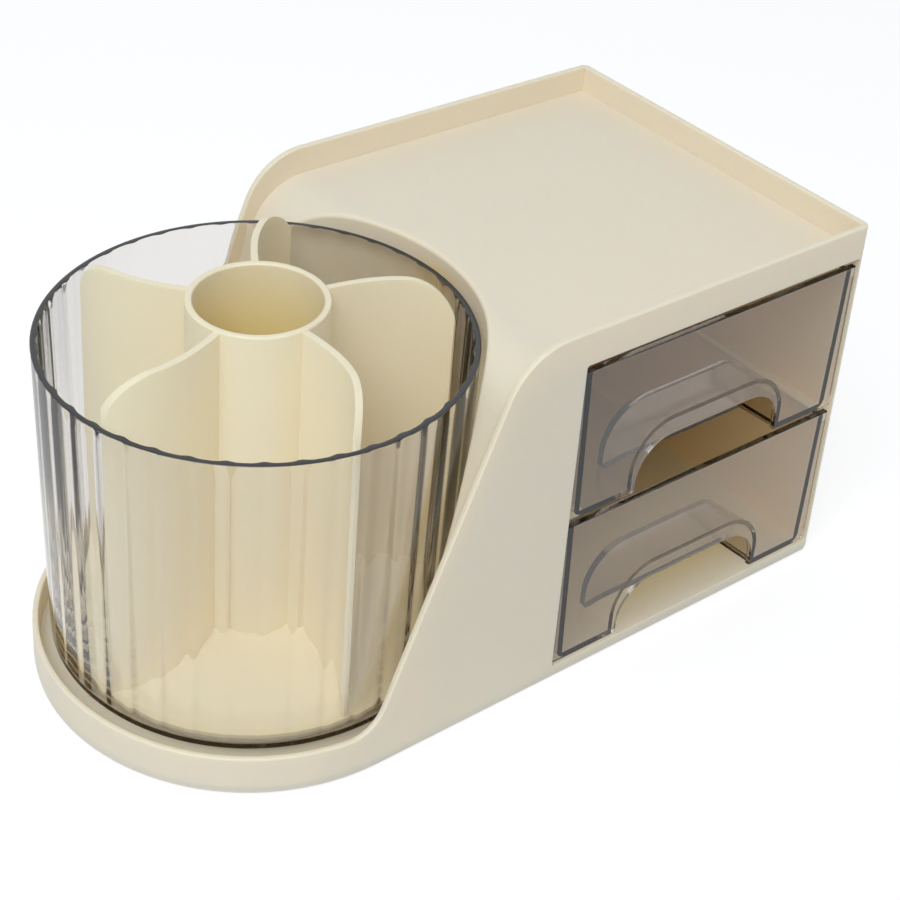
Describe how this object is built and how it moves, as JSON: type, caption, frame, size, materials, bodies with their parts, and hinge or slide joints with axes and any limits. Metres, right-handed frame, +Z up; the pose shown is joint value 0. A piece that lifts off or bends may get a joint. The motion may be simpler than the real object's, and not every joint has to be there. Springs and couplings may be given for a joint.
{
  "type": "rotating desk organizer",
  "caption": "Cream desk organizer with a tray on top, smoky clear drawers with tunnel finger pulls, and a turning fluted cup with a curved-vane divider beside them.",
  "frame": {"origin": "middle of the footprint, on the plane that the feet stand on", "axes": "+X from the round well to the square end of the cabinet; +Y to the back, so that the drawers open towards -Y; +Z up"},
  "size_m": [0.24, 0.13, 0.1233],
  "materials": {
    "cream_plastic": "satin",
    "smoky_clear_plastic": "polished, see-through",
    "white_plastic": "satin",
    "race_steel": "zinc plated",
    "ball_steel": "polished",
    "screw_steel": "zinc plated",
    "foot_rubber": "matte"
  },
  "bodies": {
    "base": {"body_shell": "cream_plastic", "bottom_plate": "cream_plastic", "bottom_screws": "screw_steel", "race_lower": "race_steel", "race_screws_lower": "screw_steel", "pivot_screw": "screw_steel", "pivot_washer": "race_steel", "foot_1": "foot_rubber", "foot_2": "foot_rubber", "foot_3": "foot_rubber", "foot_4": "foot_rubber", "foot_5": "foot_rubber", "foot_6": "foot_rubber"},
    "rotor": {"turntable": "white_plastic", "race_upper": "race_steel", "race_screws_upper": "screw_steel", "cup": "smoky_clear_plastic", "cup_screws": "screw_steel"},
    "divider": {"divider_insert": "cream_plastic"},
    "ball_ring": {"ball_cage": "white_plastic", "balls": "ball_steel"},
    "drawer_low": {"drawer_lower": "smoky_clear_plastic"},
    "drawer_up": {"drawer_upper": "smoky_clear_plastic"}
  },
  "joints": [
    {"name": "cup_spin", "type": "hinge", "parent": "base", "child": "rotor", "pos_m": [-0.055, 0, 0.02], "axis": [0, 0, 1], "continuous": true},
    {"name": "ball_ring_spin", "type": "hinge", "parent": "base", "child": "ball_ring", "pos_m": [-0.055, 0, 0.02], "axis": [0, 0, 1], "continuous": true},
    {"name": "divider_lift", "type": "slide", "parent": "rotor", "child": "divider", "axis": [0, 0, 1], "range_m": [0, 0.11]},
    {"name": "drawer_lower_slide", "type": "slide", "parent": "base", "child": "drawer_low", "axis": [0, -1, 0], "range_m": [0, 0.095]},
    {"name": "drawer_upper_slide", "type": "slide", "parent": "base", "child": "drawer_up", "axis": [0, -1, 0], "range_m": [0, 0.095]}
  ],
  "couplings": [
    {"joint": "ball_ring_spin", "follows": "cup_spin", "ratio": 0.5}
  ]
}
